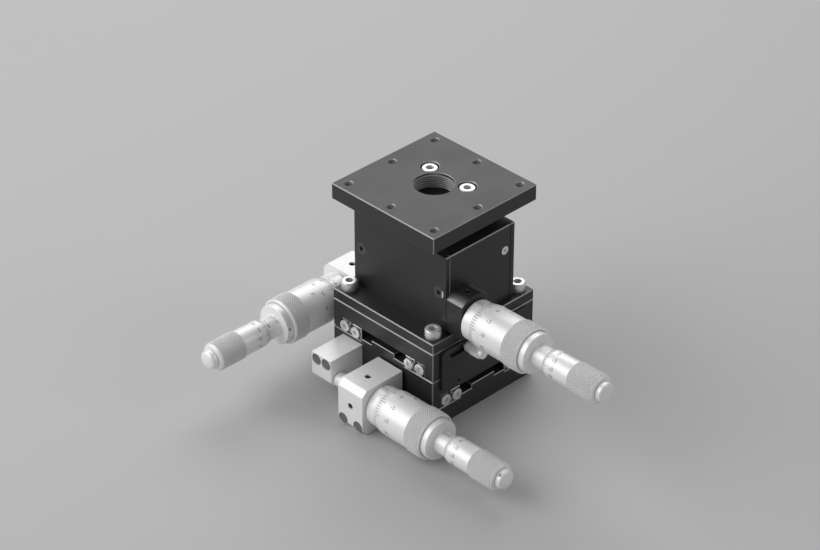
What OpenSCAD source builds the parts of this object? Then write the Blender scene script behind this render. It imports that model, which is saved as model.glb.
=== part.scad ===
// Three-axis translation stage, in millimetres.
// Two crossed-rail slides at right angles carry a wedge-driven lift.
// Each axis is moved by a micrometer head with a coarse and a fine thimble.
// The origin is the centre of the base plate's underside, with +Z up.

/* [Plates] */
// Side of the square plates
plate_w = 60; // [59:0.5:64]
// Height of the base plate up to its rail seat
seat_z = 8.9; // [8.5:0.1:12]
// Thickness of the middle plate between its two slides
web_h = 8.7; // [8.5:0.1:12]
// Thickness of the table above its rails
table_h = 7.6; // [7:0.1:12]
// Chamfer on the plate edges
plate_edge = 0.4; // [0.2:0.1:0.8]
// Gap between a plate and the plate that slides over it
plate_gap = 0.4; // [0.3:0.1:0.8]
// Travel of each axis to each side of the middle
travel = 5; // [2:0.5:5.5]

/* [Rails] */
// Height of each rail
rail_h = 6.2; // [5.8:0.1:7]
// Width of the rails on the lower plate
inner_rail_w = 5.5; // [5.3:0.1:5.6]
// Width of the rails under the upper plate
outer_rail_w = 5.5; // [5.3:0.1:5.6]
// Distance from the middle of a slide to its inner rails
rail_y = 13.3; // [12.9:0.1:13.4]
// Gap between the two rails of a pair, where the rollers run
roller_gap = 1; // [0.8:0.1:1]
// Gap over and under the rails
rail_gap = 0.3; // [0.2:0.1:0.5]
// Chamfer on the rails' edges
rail_edge = 0.4; // [0.2:0.1:0.5]
// Depth of the groove that the rollers run in
groove_d = 1.4; // [0.8:0.1:1.8]
// How far each rail stops short of the plate's ends
rail_short = 0.3; // [0:0.1:1]
// Height of the step beside the guide tongue
step_h = 1.2; // [0.8:0.1:1.6]
// Height of the guide tongue above the rail seat
tongue_h = 3.3; // [2.5:0.1:4]
// Width of the guide tongue
tongue_w = 13.8; // [10:0.2:16]

/* [Rail end screws] */
// Head diameter of the screws in the rail ends
end_head_d = 5.2; // [4.6:0.1:5.2]
// Head height of the screws in the rail ends
end_head_h = 1.1; // [0.9:0.1:1.6]
// Width of the crown's rounding on those heads
end_crown_r = 0.4; // [0.2:0.1:0.6]
// Height of that rounding
end_crown_h = 0.3; // [0.2:0.1:0.4]
// Width of the cross slots
cross_w = 0.6; // [0.5:0.1:0.8]
// Length of the cross slots
cross_l = 2.2; // [1.8:0.1:2.6]
// Depth of the cross slots
cross_h = 0.6; // [0.4:0.1:0.7]
// Thread diameter of the screws in the rail ends
end_thread_d = 2; // [1.6:0.1:2.4]
// Thread length of the screws in the rail ends
end_thread_l = 5; // [3:0.5:8]

/* [Clamp blocks] */
// Length of a clamp block along the head's axis
clamp_l = 14.5; // [12:0.5:16]
// Where the outer face of a clamp block lies along the travel
clamp_face = 13; // [12:0.5:16]
// Height of a clamp block above the bottom of its slide
clamp_top = 22.3; // [21:0.1:22.5]
// How far a clamp block reaches out from the plate
clamp_out = 24.2; // [22:0.2:28]
// How far the upper part of a clamp block stands off the plate
clamp_relief = 1; // [0.6:0.1:2]
// Chamfer on the outer edges of a clamp block
clamp_edge = 2.7; // [1:0.1:3]
// Distance from the plate side to the head's axis
head_out = 13.9; // [13.5:0.1:15]
// Height of the head's axis above the bottom of its slide
head_z = 12.15; // [11.8:0.05:13]
// Distance between the two bolts of a clamp block
clamp_bolt_pitch = 8.8; // [7:0.1:9]
// Height of those bolts above the bottom of the slide
clamp_bolt_z = 3.7; // [3.5:0.1:4.5]

/* [Anvil blocks] */
// Length of an anvil block along the travel
anvil_l = 11.6; // [10:0.1:13]
// Gap between the clamp block and the anvil block in the middle of the travel
anvil_reach = 10.9; // [9:0.1:12]
// How far an anvil block reaches out from the plate
anvil_out = 18.3; // [18:0.1:20]
// Height of an anvil block's top above the bottom of its slide
anvil_top = 22.5; // [21:0.1:22.6]
// Chamfer on the lower outer edge of an anvil block
anvil_edge = 2.3; // [1:0.1:3]
// Distance between the two bolts of an anvil block
anvil_bolt_pitch = 5.8; // [5.6:0.1:5.8]
// Height of those bolts above the bottom of the slide
anvil_bolt_z = 19.6; // [19:0.1:19.6]

/* [Block bolts] */
// Head diameter of the block bolts
block_head_d = 5.1; // [4.8:0.1:5.1]
// Head height of the block bolts
block_head_h = 3; // [2:0.1:3.5]
// Thread diameter of the block bolts
block_thread_d = 3; // [2.5:0.1:3.2]
// Depth of the counterbore over each head
block_sink = 0.3; // [0.2:0.1:0.6]
// Length of thread in the plate
block_grip = 7; // [4:0.5:9]
// Diameter of the set screws that hold the heads
set_d = 2.9; // [2.5:0.1:3.2]
// Depth of a set screw below its hole's mouth
set_sink = 0.7; // [0.3:0.1:1.2]

/* [Lock plates] */
// Thickness of a lock plate
lock_t = 1.2; // [1:0.1:1.6]
// Length of a lock plate
lock_l = 51; // [48:0.5:54]
// Height of a lock plate's lower edge above the bottom of its slide
lock_z = 1.4; // [1:0.1:1.8]
// Height of a lock plate
lock_h = 21.3; // [21:0.1:21.8]
// Corner chamfer of a lock plate
lock_corner = 2; // [1:0.1:3]
// Where the lock screw stands along the travel
lock_x = 10.7; // [8:0.1:11]
// Height of the lock screw above the bottom of its slide
lock_screw_z = 19.45; // [19.3:0.05:19.6]
// Width of the slot that the lock screw moves in
slot_w = 3.6; // [3.4:0.1:4]
// Length of that slot
slot_l = 21.2; // [20:0.1:24]
// Distance of each fixing screw from the middle of the plate
lock_fix_x = 15.6; // [12:0.1:18]
// Height of the fixing screws above the bottom of the slide
lock_fix_z = 4.2; // [4:0.1:4.5]
// Head diameter of the fixing screws
lock_fix_d = 3.8; // [3:0.1:4.2]

/* [Lock screws] */
// Diameter of the lock screw's collar
collar_d = 5; // [4.4:0.1:5.4]
// Diameter of the lock screw's knurled grip
grip_d = 5.6; // [5:0.1:6]
// Length of the lock screw outside the lock plate
knob_l = 9.4; // [8:0.1:12]
// Length of its collar
collar_l = 1.9; // [1.4:0.1:2.4]
// Length of the neck behind the collar
neck_l = 0.8; // [0.6:0.1:1.2]
// Diameter of that neck
neck_d = 3.6; // [3.2:0.1:4]
// Length of the grip's tapered end
grip_end_l = 1.8; // [1:0.1:2.4]
// How much the tapered end narrows on each side
grip_taper = 0.7; // [0.4:0.1:1]
// Thread diameter of the lock screw
lock_thread_d = 3; // [2.5:0.1:3.2]
// Thread length of the lock screw in the plate
lock_grip = 4; // [3:0.1:4.5]

/* [Adapter plate] */
// Thickness of the adapter plate
adapter_h = 5; // [4:0.2:8]
// Distance of the corner bolts and mounting holes from the sides of the plates
corner_inset = 5; // [4.6:0.1:5.4]
// Head diameter of the corner bolts
corner_head_d = 7.1; // [6.6:0.1:7.4]
// Head height of the corner bolts
corner_head_h = 4; // [3:0.1:5]
// Thread diameter of the corner bolts
corner_thread_d = 4; // [3.5:0.1:4.2]

/* [Lift housing] */
// Length of the housing behind the origin
house_back = 27; // [26.5:0.1:28]
// Length of the housing in front of the origin
house_front = 27.3; // [27:0.1:28]
// Width of the housing across the side plates
house_w = 40; // [39:0.2:41]
// Height of the housing above the adapter plate
house_h = 36.8; // [36.5:0.1:40]
// Thickness of the side plates
side_t = 2; // [1.8:0.1:2.2]
// Thickness of the front cover
cover_t = 2.1; // [1.8:0.1:2.4]
// Thickness of the frame's floor
floor_t = 3; // [2.5:0.1:3.2]
// Thickness of the frame's back wall
back_t = 10; // [9:0.1:10.5]
// Thickness of the frame's front wall
front_t = 5.6; // [5:0.1:6]
// Distance of the side screws from the middle
side_screw_x = 23; // [22.8:0.1:23]
// Height of the side screws above the adapter plate
side_screw_z = 18.3; // [16:0.1:22]
// Head diameter of the housing screws
house_head_d = 5.6; // [5:0.1:5.8]
// Where the cover screw stands across the cover
cover_screw_y = 14.6; // [14:0.1:14.8]
// Height of the cover screw above the adapter plate
cover_screw_z = 25.1; // [23:0.1:28]
// Head diameter of the cover screw
cover_head_d = 3.9; // [3.5:0.1:4.5]

/* [Lift] */
// Thickness of the wedge's nose
nose_t = 1.2; // [0.8:0.1:1.6]
// Height of the wedge's thick end
wedge_h = 20.4; // [18:0.1:21]
// Running gap round the wedge and the column
lift_gap = 0.3; // [0.2:0.1:0.4]
// Side gap between the column and the side plates
column_side = 0.5; // [0.3:0.1:0.8]
// Gap between the housing and the top plate in the middle of the travel
neck_h = 7.6; // [7.2:0.1:9]

/* [Top plate] */
// Thickness of the top plate
top_h = 7.6; // [7.4:0.1:9]
// Tap diameter of the mounting holes
tap_d = 3.3; // [3:0.1:3.4]
// Diameter of the countersink at each mounting hole
tap_mouth_d = 4.4; // [4:0.1:4.8]
// Diameter of the central hole
centre_d = 17.5; // [16:0.1:17.8]
// Distance of each top bolt from the middle, along X
top_bolt_x = 11; // [11:0.1:12]
// Distance of the top bolts from the middle, along Y
top_bolt_y = 8.4; // [8.4:0.1:9]
// Diameter of the counterbore round each top bolt
top_bore_d = 8; // [7.4:0.1:8.2]
// Head diameter of the top bolts
top_head_d = 7; // [6.6:0.1:7.2]
// Depth of the top bolts' heads below the surface
top_sink = 0.5; // [0.3:0.1:1]

/* [Lift head clamp] */
// Thickness of the lift's clamp block
z_clamp_t = 9.1; // [8:0.1:9.4]
// Distance of the lift head's axis in front of the middle, towards -Y
z_head_y = 12.2; // [11.5:0.1:12.4]
// Height of the lift head's axis above the adapter plate
z_head_z = 8.3; // [8.3:0.1:9]
// Radius of the clamp block's arch
arch_r = 11.4; // [10.8:0.1:11.6]
// Width of the clamp block between its flat sides
z_clamp_w = 15.2; // [14.6:0.1:15.4]
// Height of the clamp block's lower face above the adapter plate
z_clamp_foot = 1.3; // [0.8:0.1:1.5]

/* [Micrometer sleeve] */
// Diameter of the shank in the clamp block
shank_d = 12; // [11.5:0.1:12.2]
// Diameter of the sleeve
sleeve_d = 18; // [17.6:0.1:18.2]
// Length of the sleeve in front of the clamp
sleeve_l = 17; // [15.5:0.1:17.5]
// Length of sleeve that shows on the X and lift heads
sleeve_show = 5.3; // [5.2:0.1:5.6]
// How much more sleeve shows on the Y head
y_head_out = 2.6; // [0:0.1:2.8]

/* [Coarse thimble] */
// Diameter of the thimble at its bevelled edge
bevel_d = 18.6; // [18.5:0.1:18.8]
// Length of the bevel
bevel_l = 4.2; // [3:0.1:5]
// Diameter of the thimble's plain part
thimble_d = 20.1; // [19.6:0.1:20.6]
// Length of the plain part
plain_l = 15; // [14:0.1:16]
// Diameter over the knurl
knurl_d = 21.2; // [21:0.1:21.8]
// Length of the knurl
knurl_l = 7.5; // [7:0.1:9]
// Length of the chamfer behind the knurl
knurl_edge = 0.8; // [0.6:0.1:0.9]

/* [Fine sleeve] */
// Diameter of the ring behind the coarse thimble
ring_d = 17.9; // [17:0.1:18]
// Length of ring that stands out of the coarse thimble
ring_l = 3.2; // [2.8:0.1:3.6]
// Depth of the groove round the ring in the thimble's end
ring_groove = 0.8; // [0.4:0.1:1]
// Width of the groove round the ring
groove_w = 0.5; // [0.3:0.1:0.5]
// Diameter of the fine sleeve
fine_sleeve_d = 9.9; // [9.6:0.1:10]
// Length of fine sleeve that shows
fine_show = 6.5; // [6:0.1:8]

/* [Fine thimble] */
// Travel of the fine thimble to each side of the middle
fine_travel = 2.5; // [1:0.1:2.6]
// Diameter at the fine thimble's bevelled edge
fine_bevel_d = 10.6; // [10.4:0.1:10.8]
// Length of the fine thimble's bevel
fine_bevel_l = 2.5; // [2:0.1:3]
// Diameter of the fine thimble's plain part
fine_d = 12; // [11.6:0.1:12.4]
// Length of the fine thimble's plain part
fine_plain_l = 12; // [11:0.1:13]
// Diameter over the fine knurl
fine_knurl_d = 13; // [12.6:0.1:13.4]
// Length of the fine knurl
fine_knurl_l = 12.5; // [11:0.1:14]
// Length of the chamfer behind the fine knurl
fine_edge = 1; // [0.8:0.1:1.5]

/* [Spindle and end cap] */
// Diameter of the spindle
spindle_d = 6.5; // [6:0.1:6.8]
// Diameter of the stem inside the fine thimble
stem_d = 4.5; // [4:0.1:5]
// Diameter of the end cap
cap_d = 8.5; // [8:0.1:9.5]
// Length of the end cap
cap_l = 3.6; // [3:0.1:4]
// Radial running clearance of the sliding and turning fits
run = 0.05; // [0.02:0.01:0.08]
// Gap left between faces that meet but move apart
touch = 0.15; // [0.13:0.01:0.2]

/* [Hidden] */
$fn = 64;

// How far a cut reaches past its faces, and how far joined shapes reach into each other
cut = 1;
bury = 1;
lap = 0.1;
// Clearance of a screw's thread and head in their holes
fit = 0.02;
head_room = 0.15;
// Small edges on screw heads, the tongue, the holes of the top plate and the spindle
head_edge = 0.3;
tongue_edge = 0.28;
centre_edge = 0.3;
bore_edge = 0.45;
spindle_edge = 0.4;
knob_edge = 0.2;

// Standard screws: thread diameters, thread lengths in the metal and head height
lock_fix_thread = 2;
lock_fix_grip = 4;
house_thread = 3;
house_hole_l = 6;
house_screw_l = 5.5;
cover_thread = 2;
corner_grip = 6;
base_tap_h = 6;
top_thread = 4;
top_hole_l = 7;
top_grip = 6;
top_head_h = 4;
// Their hexagon keys, and how deep the keys go into flat heads and set screws
corner_key = 3;
house_key = 2;
set_key = 1.5;
small_key = 1.3;
flat_key_depth = 0.9;
set_key_depth = 1.2;

// Heights of the slides
ceiling_z = seat_z + rail_gap + rail_h;
level_rise = rail_gap + rail_h + web_h;
skirt_z = seat_z + plate_gap;
table_top = seat_z + level_rise + rail_gap + rail_h + table_h;
house_z = table_top + adapter_h;
house_top = house_z + house_h;
top_z = house_top + neck_h;

// Places across a slide
half_w = plate_w / 2;
corner_pitch = plate_w - 2 * corner_inset;
rail_l = plate_w - 2 * rail_short;
outer_rail_y = rail_y + inner_rail_w + roller_gap;
skirt_y = outer_rail_y + outer_rail_w;
head_y = half_w + head_out;
block_bore = block_head_d + 2 * head_room;

// Centre lines of the end screws in each kind of rail
inner_screw = [0, rail_y + inner_rail_w / 2, seat_z + rail_h / 2];
outer_screw = [0, outer_rail_y + outer_rail_w / 2, ceiling_z - rail_h / 2];

// Places along a slide
clamp_mid = clamp_face - clamp_l / 2;
anvil_mid = clamp_face - clamp_l - anvil_reach - anvil_l / 2;
// Gap under a clamp block
clamp_floor = 0.1;

// Walls, guides and edges inside and at the ends of a head
spindle_wall = 1.2;
fine_guide = 4;
stem_wall = 2.5;
stem_gap = 0.5;
sleeve_edge = 1;
ring_edge = 0.3;
fine_rim = 0.9;
cap_crown = 0.8;

// Places along a head, from the clamp's outer face
body_s = sleeve_show + bevel_l;
knurl_s = body_s + plain_l;
knurl_end_s = knurl_s + knurl_l;
coarse_end_s = knurl_end_s + knurl_edge;
ring_s = coarse_end_s - ring_groove;
ring_end_s = coarse_end_s + ring_l;
fine_s = ring_end_s + fine_show;
fine_body_s = fine_s + fine_bevel_l;
fine_knurl_s = fine_body_s + fine_plain_l;
fine_knurl_end_s = fine_knurl_s + fine_knurl_l;
fine_end_s = fine_knurl_end_s + fine_edge;
cap_s = fine_end_s + touch;
tip_s = -(clamp_l + anvil_reach - touch);
// Depths of the cavities inside the thimbles
cavity_s = sleeve_l + travel + touch + rail_gap;
spindle_end_s = ring_s - spindle_wall;
fine_sleeve_end_s = fine_s + fine_travel + fine_guide;
fine_cavity_s = fine_sleeve_end_s + fine_travel + touch + rail_gap;
stem_room_s = ring_s + stem_wall;
stem_s = stem_room_s + fine_travel + stem_gap;

// Places in the lift
inner_w = house_w - 2 * side_t;
back_face = -house_back + back_t;
front_face = house_front - cover_t - front_t;
z_clamp_face = house_front + z_clamp_t;
wedge_face = z_clamp_face + tip_s;
wedge_z = house_z + floor_t + lift_gap / 2;
wedge_nose = wedge_face - (wedge_h - nose_t);
// Height of the wedge face over the wedge's back, where the two 45 degree faces lie
slope_c = wedge_z + wedge_h - wedge_face;
column_back = back_face + lift_gap;
column_front = front_face - lift_gap;
column_foot = house_z + floor_t + travel + lift_gap;

// Shapes and places shared by the sub-parts

// Rectangle with its four corners cut off
module cut_rect(a, b, c) {
    polygon([[a / 2 - c, -b / 2], [a / 2, c - b / 2], [a / 2, b / 2 - c], [a / 2 - c, b / 2],
        [c - a / 2, b / 2], [-a / 2, b / 2 - c], [-a / 2, c - b / 2], [c - a / 2, -b / 2]]);
}

// Box on z = 0, centred in X and Y, with all its edges chamfered
module chamfered_box(w, d, h, c) {
    intersection() {
        linear_extrude(h) cut_rect(w, d, c);
        translate([0, d / 2, h / 2]) rotate([90, 0, 0]) linear_extrude(d) cut_rect(w, h, c);
        translate([-w / 2, 0, h / 2]) rotate([90, 0, 90]) linear_extrude(w) cut_rect(d, h, c);
    }
}

// Turns an outline in Y and Z into a bar along X, between two places
module bar_x(x0, x1) {
    translate([x0, 0, 0]) rotate([90, 0, 90]) linear_extrude(x1 - x0) children();
}

// Cylinders along X and Y between two places, and round holes that open outwards
module rod_x(x0, x1, d) {
    translate([x0, 0, 0]) rotate([0, 90, 0]) cylinder(h = x1 - x0, d = d);
}

module rod_y(y0, y1, d) {
    translate([0, y1, 0]) rotate([90, 0, 0]) cylinder(h = y1 - y0, d = d);
}

// The upper slide is the lower one, raised and turned a quarter
module upper_slide() {
    translate([0, 0, level_rise]) rotate([0, 0, -90]) children();
}

// A head stands with its axis outwards along X, its clamp face at s = 0
module x_head_place() {
    translate([clamp_face, -head_y, head_z]) rotate([0, 90, 0]) children();
}

module y_head_place() {
    upper_slide() x_head_place() children();
}

module y_moving_place() {
    y_head_place() translate([0, 0, y_head_out]) children();
}

module z_head_place() {
    translate([z_clamp_face, -z_head_y, house_z + z_head_z]) rotate([0, 90, 0]) children();
}

// Bolt along Z with the underside of its head at z = 0 and its thread below
module headed_bolt(head_d, head_h, thread_d, thread_l) {
    cylinder(h = head_h - head_edge, d = head_d);
    translate([0, 0, head_h - head_edge])
        cylinder(h = head_edge, d1 = head_d, d2 = head_d - 2 * head_edge);
    translate([0, 0, -thread_l]) cylinder(h = thread_l + lap, d = thread_d);
}

// The same bolt with a hexagon socket in its head
module socket_screw(head_d, head_h, thread_d, thread_l, key) {
    difference() {
        headed_bolt(head_d, head_h, thread_d, thread_l);
        translate([0, 0, head_h / 2]) cylinder(h = head_h, d = key / cos(30), $fn = 6);
    }
}

// Flat-headed screw along Z with its head's top at z = 0 and its thread below
module flat_screw(head_d, thread_d, length, key) {
    cone_h = (head_d - thread_d) / 2;
    difference() {
        union() {
            translate([0, 0, -cone_h]) cylinder(h = cone_h, d1 = thread_d, d2 = head_d);
            translate([0, 0, -length]) cylinder(h = length - cone_h + lap, d = thread_d);
        }
        translate([0, 0, -min(flat_key_depth, cone_h)])
            cylinder(h = flat_key_depth + cut, d = key / cos(30), $fn = 6);
    }
}

// The hole that a flat-headed screw sits in
module flat_hole(head_d, thread_d, length) {
    cone_h = (head_d - thread_d) / 2;
    translate([0, 0, -cone_h - fit]) cylinder(h = cone_h, d1 = thread_d, d2 = head_d);
    translate([0, 0, -fit]) cylinder(h = cut, d = head_d);
    translate([0, 0, -length - fit]) cylinder(h = length, d = thread_d + 2 * fit);
}

// Set screw along Z with its socket end at z = 0 and its point below
module set_screw(length) {
    difference() {
        translate([0, 0, -length]) cylinder(h = length, d = set_d - 2 * fit);
        translate([0, 0, -set_key_depth])
            cylinder(h = set_key_depth + cut, d = set_key / cos(30), $fn = 6);
    }
}

// Plates and rails

// Step and guide tongue that stand up between the inner rails of the lower slide
module guide_tongue() {
    translate([0, 0, seat_z - bury])
        chamfered_box(plate_w, 2 * rail_y, bury + step_h, tongue_edge);
    translate([0, 0, seat_z - bury])
        chamfered_box(plate_w, tongue_w, bury + tongue_h, tongue_edge);
}

// Space under an upper plate for the rails of the lower slide
module rail_channel() {
    translate([-half_w - cut, -skirt_y, skirt_z - cut])
        cube([plate_w + 2 * cut, 2 * skirt_y, ceiling_z - skirt_z + cut]);
}

// Outline of an inner rail, with its groove on the outer side
module inner_rail_outline() {
    polygon([[rail_y, seat_z], [rail_y + inner_rail_w, seat_z],
        [rail_y + inner_rail_w, seat_z + rail_h / 2 - groove_d],
        [rail_y + inner_rail_w - groove_d, seat_z + rail_h / 2],
        [rail_y + inner_rail_w, seat_z + rail_h / 2 + groove_d],
        [rail_y + inner_rail_w, seat_z + rail_h], [rail_y, seat_z + rail_h]]);
}

// Outline of an outer rail, with its groove on the inner side
module outer_rail_outline() {
    polygon([[skirt_y, ceiling_z], [outer_rail_y, ceiling_z],
        [outer_rail_y, ceiling_z - rail_h / 2 + groove_d],
        [outer_rail_y + groove_d, ceiling_z - rail_h / 2],
        [outer_rail_y, ceiling_z - rail_h / 2 - groove_d],
        [outer_rail_y, ceiling_z - rail_h], [skirt_y, ceiling_z - rail_h]]);
}

// Tapped holes in both ends of a rail
module rail_end_holes(place) {
    for (end = [-1, 1])
        translate(place + [end * (rail_l / 2 - end_thread_l / 2), 0, 0])
            rod_x(-end_thread_l / 2 - cut, end_thread_l / 2 + cut, end_thread_d + 2 * fit);
}

module inner_rail() {
    color("#b9bcc0")
    difference() {
        intersection() {
            bar_x(-rail_l / 2, rail_l / 2) inner_rail_outline();
            translate([0, rail_y + inner_rail_w / 2, seat_z])
                chamfered_box(rail_l, inner_rail_w, rail_h, rail_edge);
        }
        rail_end_holes(inner_screw);
    }
}

module outer_rail() {
    color("#b9bcc0")
    difference() {
        intersection() {
            bar_x(-rail_l / 2, rail_l / 2) outer_rail_outline();
            translate([0, outer_rail_y + outer_rail_w / 2, ceiling_z - rail_h])
                chamfered_box(rail_l, outer_rail_w, rail_h, rail_edge);
        }
        rail_end_holes(outer_screw);
    }
}

module mirrored_rail() {
    mirror([0, 1, 0]) children();
}

// Pan-headed cross screw, pointing out along X from x = 0
module end_screw() {
    head_r = end_head_d / 2;
    crown = [for (a = [0, 30, 60, 90])
        [head_r - end_crown_r * (1 - cos(a)), end_head_h - end_crown_h * (1 - sin(a))]];
    rotate([0, 90, 0])
        difference() {
            rotate_extrude()
                polygon(concat([[0, -end_thread_l], [end_thread_d / 2, -end_thread_l],
                    [end_thread_d / 2, 0], [head_r, 0]], crown, [[0, end_head_h]]));
            for (turn = [0, 90])
                rotate([0, 0, turn])
                    translate([-cross_l / 2, -cross_w / 2, end_head_h - cross_h])
                        cube([cross_l, cross_w, cross_h + cut]);
        }
}

// The four end screws of a pair of rails
module end_screws(place) {
    for (side = [-1, 1])
        for (end = [0, 1])
            mirror([end, 0, 0])
                translate([rail_l / 2, side * place[1], place[2]])
                    end_screw();
}

// Blind tapped hole in a plate's side for a block bolt of the lower slide
module block_tap(x, z) {
    translate([x, 0, z])
        rod_y(-half_w - cut, -half_w + block_grip + cut, block_thread_d + 2 * fit);
}

module clamp_taps() {
    for (side = [-1, 1])
        block_tap(clamp_mid + side * clamp_bolt_pitch / 2, clamp_bolt_z);
}

module anvil_taps(shift) {
    for (side = [-1, 1])
        block_tap(anvil_mid + shift + side * anvil_bolt_pitch / 2, anvil_bolt_z);
}

// Blind tapped holes for a lock plate's fixing screws
module lock_fix_taps() {
    for (side = [-1, 1])
        translate([side * lock_fix_x, 0, lock_fix_z])
            rod_y(half_w - lock_fix_grip - cut, half_w + cut, lock_fix_thread + 2 * fit);
}

// Tapped hole for the lock screw in the plate that it locks
module lock_tap() {
    translate([lock_x, 0, lock_screw_z])
        rod_y(half_w - lock_grip - cut, half_w + cut, lock_thread_d + 2 * run);
}

module base_plate() {
    color("#2b2c2e")
    difference() {
        union() {
            chamfered_box(plate_w, plate_w, seat_z, plate_edge);
            guide_tongue();
        }
        corner_places() translate([0, 0, -cut]) cylinder(h = base_tap_h + cut, d = tap_d);
        corner_places() translate([0, 0, -cut])
            cylinder(h = (tap_mouth_d - tap_d) / 2 + cut, d1 = tap_mouth_d + 2 * cut, d2 = tap_d);
        clamp_taps();
        lock_fix_taps();
    }
}

module corner_places() {
    for (x = [-1, 1])
        for (y = [-1, 1])
            translate([x * corner_pitch / 2, y * corner_pitch / 2, 0]) children();
}

module middle_plate() {
    color("#2b2c2e")
    difference() {
        union() {
            translate([0, 0, skirt_z])
                chamfered_box(plate_w, plate_w, seat_z + level_rise - skirt_z, plate_edge);
            upper_slide() guide_tongue();
        }
        rail_channel();
        anvil_taps(0);
        lock_tap();
        upper_slide() clamp_taps();
        upper_slide() lock_fix_taps();
    }
}

module top_table() {
    color("#2b2c2e")
    difference() {
        translate([0, 0, skirt_z + level_rise])
            chamfered_box(plate_w, plate_w, table_top - skirt_z - level_rise, plate_edge);
        upper_slide() rail_channel();
        upper_slide() anvil_taps(y_head_out);
        upper_slide() lock_tap();
        corner_places()
            translate([0, 0, table_top - corner_grip - cut])
                cylinder(h = corner_grip + 2 * cut, d = corner_thread_d + 2 * fit);
    }
}

// Clamp block, anvil block and their screws

module clamp_block_outline() {
    far = -half_w - clamp_out;
    polygon([[-half_w, clamp_floor], [-half_w, seat_z], [-half_w - clamp_relief, seat_z],
        [-half_w - clamp_relief, clamp_top], [far + clamp_edge, clamp_top],
        [far, clamp_top - clamp_edge], [far, clamp_floor + clamp_edge],
        [far + clamp_edge, clamp_floor]]);
}

// Counterbored hole along Y for a block bolt whose head sits at depth sink under the face
module block_bolt_hole(x, z, reach) {
    seat = -half_w - reach + block_sink + block_head_h;
    translate([x, 0, z]) rod_y(-half_w - reach - cut, seat, block_bore);
    translate([x, 0, z]) rod_y(seat - fit, -half_w + cut, block_thread_d + 2 * fit);
}

// Bolt with a plain flat head, which fills its counterbore nearly to the face
module block_bolt(x, z, reach) {
    seat = -half_w - reach + block_sink + block_head_h;
    translate([x, seat, z]) rotate([90, 0, 0])
        headed_bolt(block_head_d, block_head_h, block_thread_d, block_grip - half_w - seat);
}

module clamp_block() {
    far = -half_w - clamp_out;
    color("#c9cbce")
    difference() {
        bar_x(clamp_face - clamp_l, clamp_face) clamp_block_outline();
        translate([0, -head_y, head_z])
            rod_x(clamp_face - clamp_l - cut, clamp_face + cut, shank_d + 2 * fit);
        for (side = [-1, 1])
            block_bolt_hole(clamp_mid + side * clamp_bolt_pitch / 2, clamp_bolt_z, clamp_out);
        translate([clamp_mid, -head_y, head_z]) cylinder(h = clamp_top, d = set_d);
        translate([clamp_mid, 0, head_z]) rod_y(far - cut, -head_y, set_d);
    }
}

module clamp_bolts() {
    color("#77797c")
    for (side = [-1, 1])
        block_bolt(clamp_mid + side * clamp_bolt_pitch / 2, clamp_bolt_z, clamp_out);
}

module clamp_set_screws() {
    top_l = clamp_top - set_sink - head_z - shank_d / 2;
    side_l = clamp_out - head_out - set_sink - shank_d / 2;
    color("#8b8d90") {
        translate([clamp_mid, -head_y, clamp_top - set_sink]) set_screw(top_l - fit);
        translate([clamp_mid, -half_w - clamp_out + set_sink, head_z])
            rotate([90, 0, 0]) set_screw(side_l - fit);
    }
}

// The anvil block is pushed by the spindle; shift moves it towards the clamp block
module anvil_block(shift) {
    far = -half_w - anvil_out;
    color("#c9cbce")
    difference() {
        bar_x(anvil_mid + shift - anvil_l / 2, anvil_mid + shift + anvil_l / 2)
            polygon([[-half_w, skirt_z], [-half_w, anvil_top], [far, anvil_top],
                [far, skirt_z + anvil_edge], [far + anvil_edge, skirt_z]]);
        for (side = [-1, 1])
            block_bolt_hole(anvil_mid + shift + side * anvil_bolt_pitch / 2, anvil_bolt_z,
                anvil_out);
    }
}

module anvil_bolts(shift) {
    color("#77797c")
    for (side = [-1, 1])
        block_bolt(anvil_mid + shift + side * anvil_bolt_pitch / 2, anvil_bolt_z, anvil_out);
}

// The middle plate carries the outer rails of the lower slide and the inner ones of the upper
module middle_rail_screws() {
    color("#dcdde0") {
        end_screws(outer_screw);
        upper_slide() end_screws(inner_screw);
    }
}

module middle_block_bolts() {
    anvil_bolts(0);
    upper_slide() clamp_bolts();
}

// Lock plate and lock screw

module lock_plate() {
    slot_r = slot_w / 2;
    color("#333436")
    difference() {
        translate([0, half_w + lock_t, lock_z + lock_h / 2])
            rotate([90, 0, 0]) linear_extrude(lock_t) cut_rect(lock_l, lock_h, lock_corner);
        // Relief behind the plate, where the moving plate slides past
        translate([-lock_l, half_w - cut, skirt_z - plate_gap / 2])
            cube([2 * lock_l, cut + touch, lock_h]);
        translate([lock_x, 0, lock_screw_z])
            for (end = [-1, 1])
                translate([end * (slot_l / 2 - slot_r), 0, 0])
                    rod_y(half_w - cut, half_w + lock_t + cut, slot_w);
        translate([lock_x - slot_l / 2 + slot_r, half_w - cut, lock_screw_z - slot_r])
            cube([slot_l - slot_w, lock_t + 2 * cut, slot_w]);
        for (side = [-1, 1])
            translate([side * lock_fix_x, half_w + lock_t, lock_fix_z])
                rotate([-90, 0, 0]) flat_hole(lock_fix_d, lock_fix_thread, 2 * lock_t);
    }
}

module lock_plate_screws() {
    color("#9a9ca0")
    for (side = [-1, 1])
        translate([side * lock_fix_x, half_w + lock_t - fit, lock_fix_z])
            rotate([-90, 0, 0])
                flat_screw(lock_fix_d, lock_fix_thread, lock_t + lock_fix_grip - lap, small_key);
}

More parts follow.
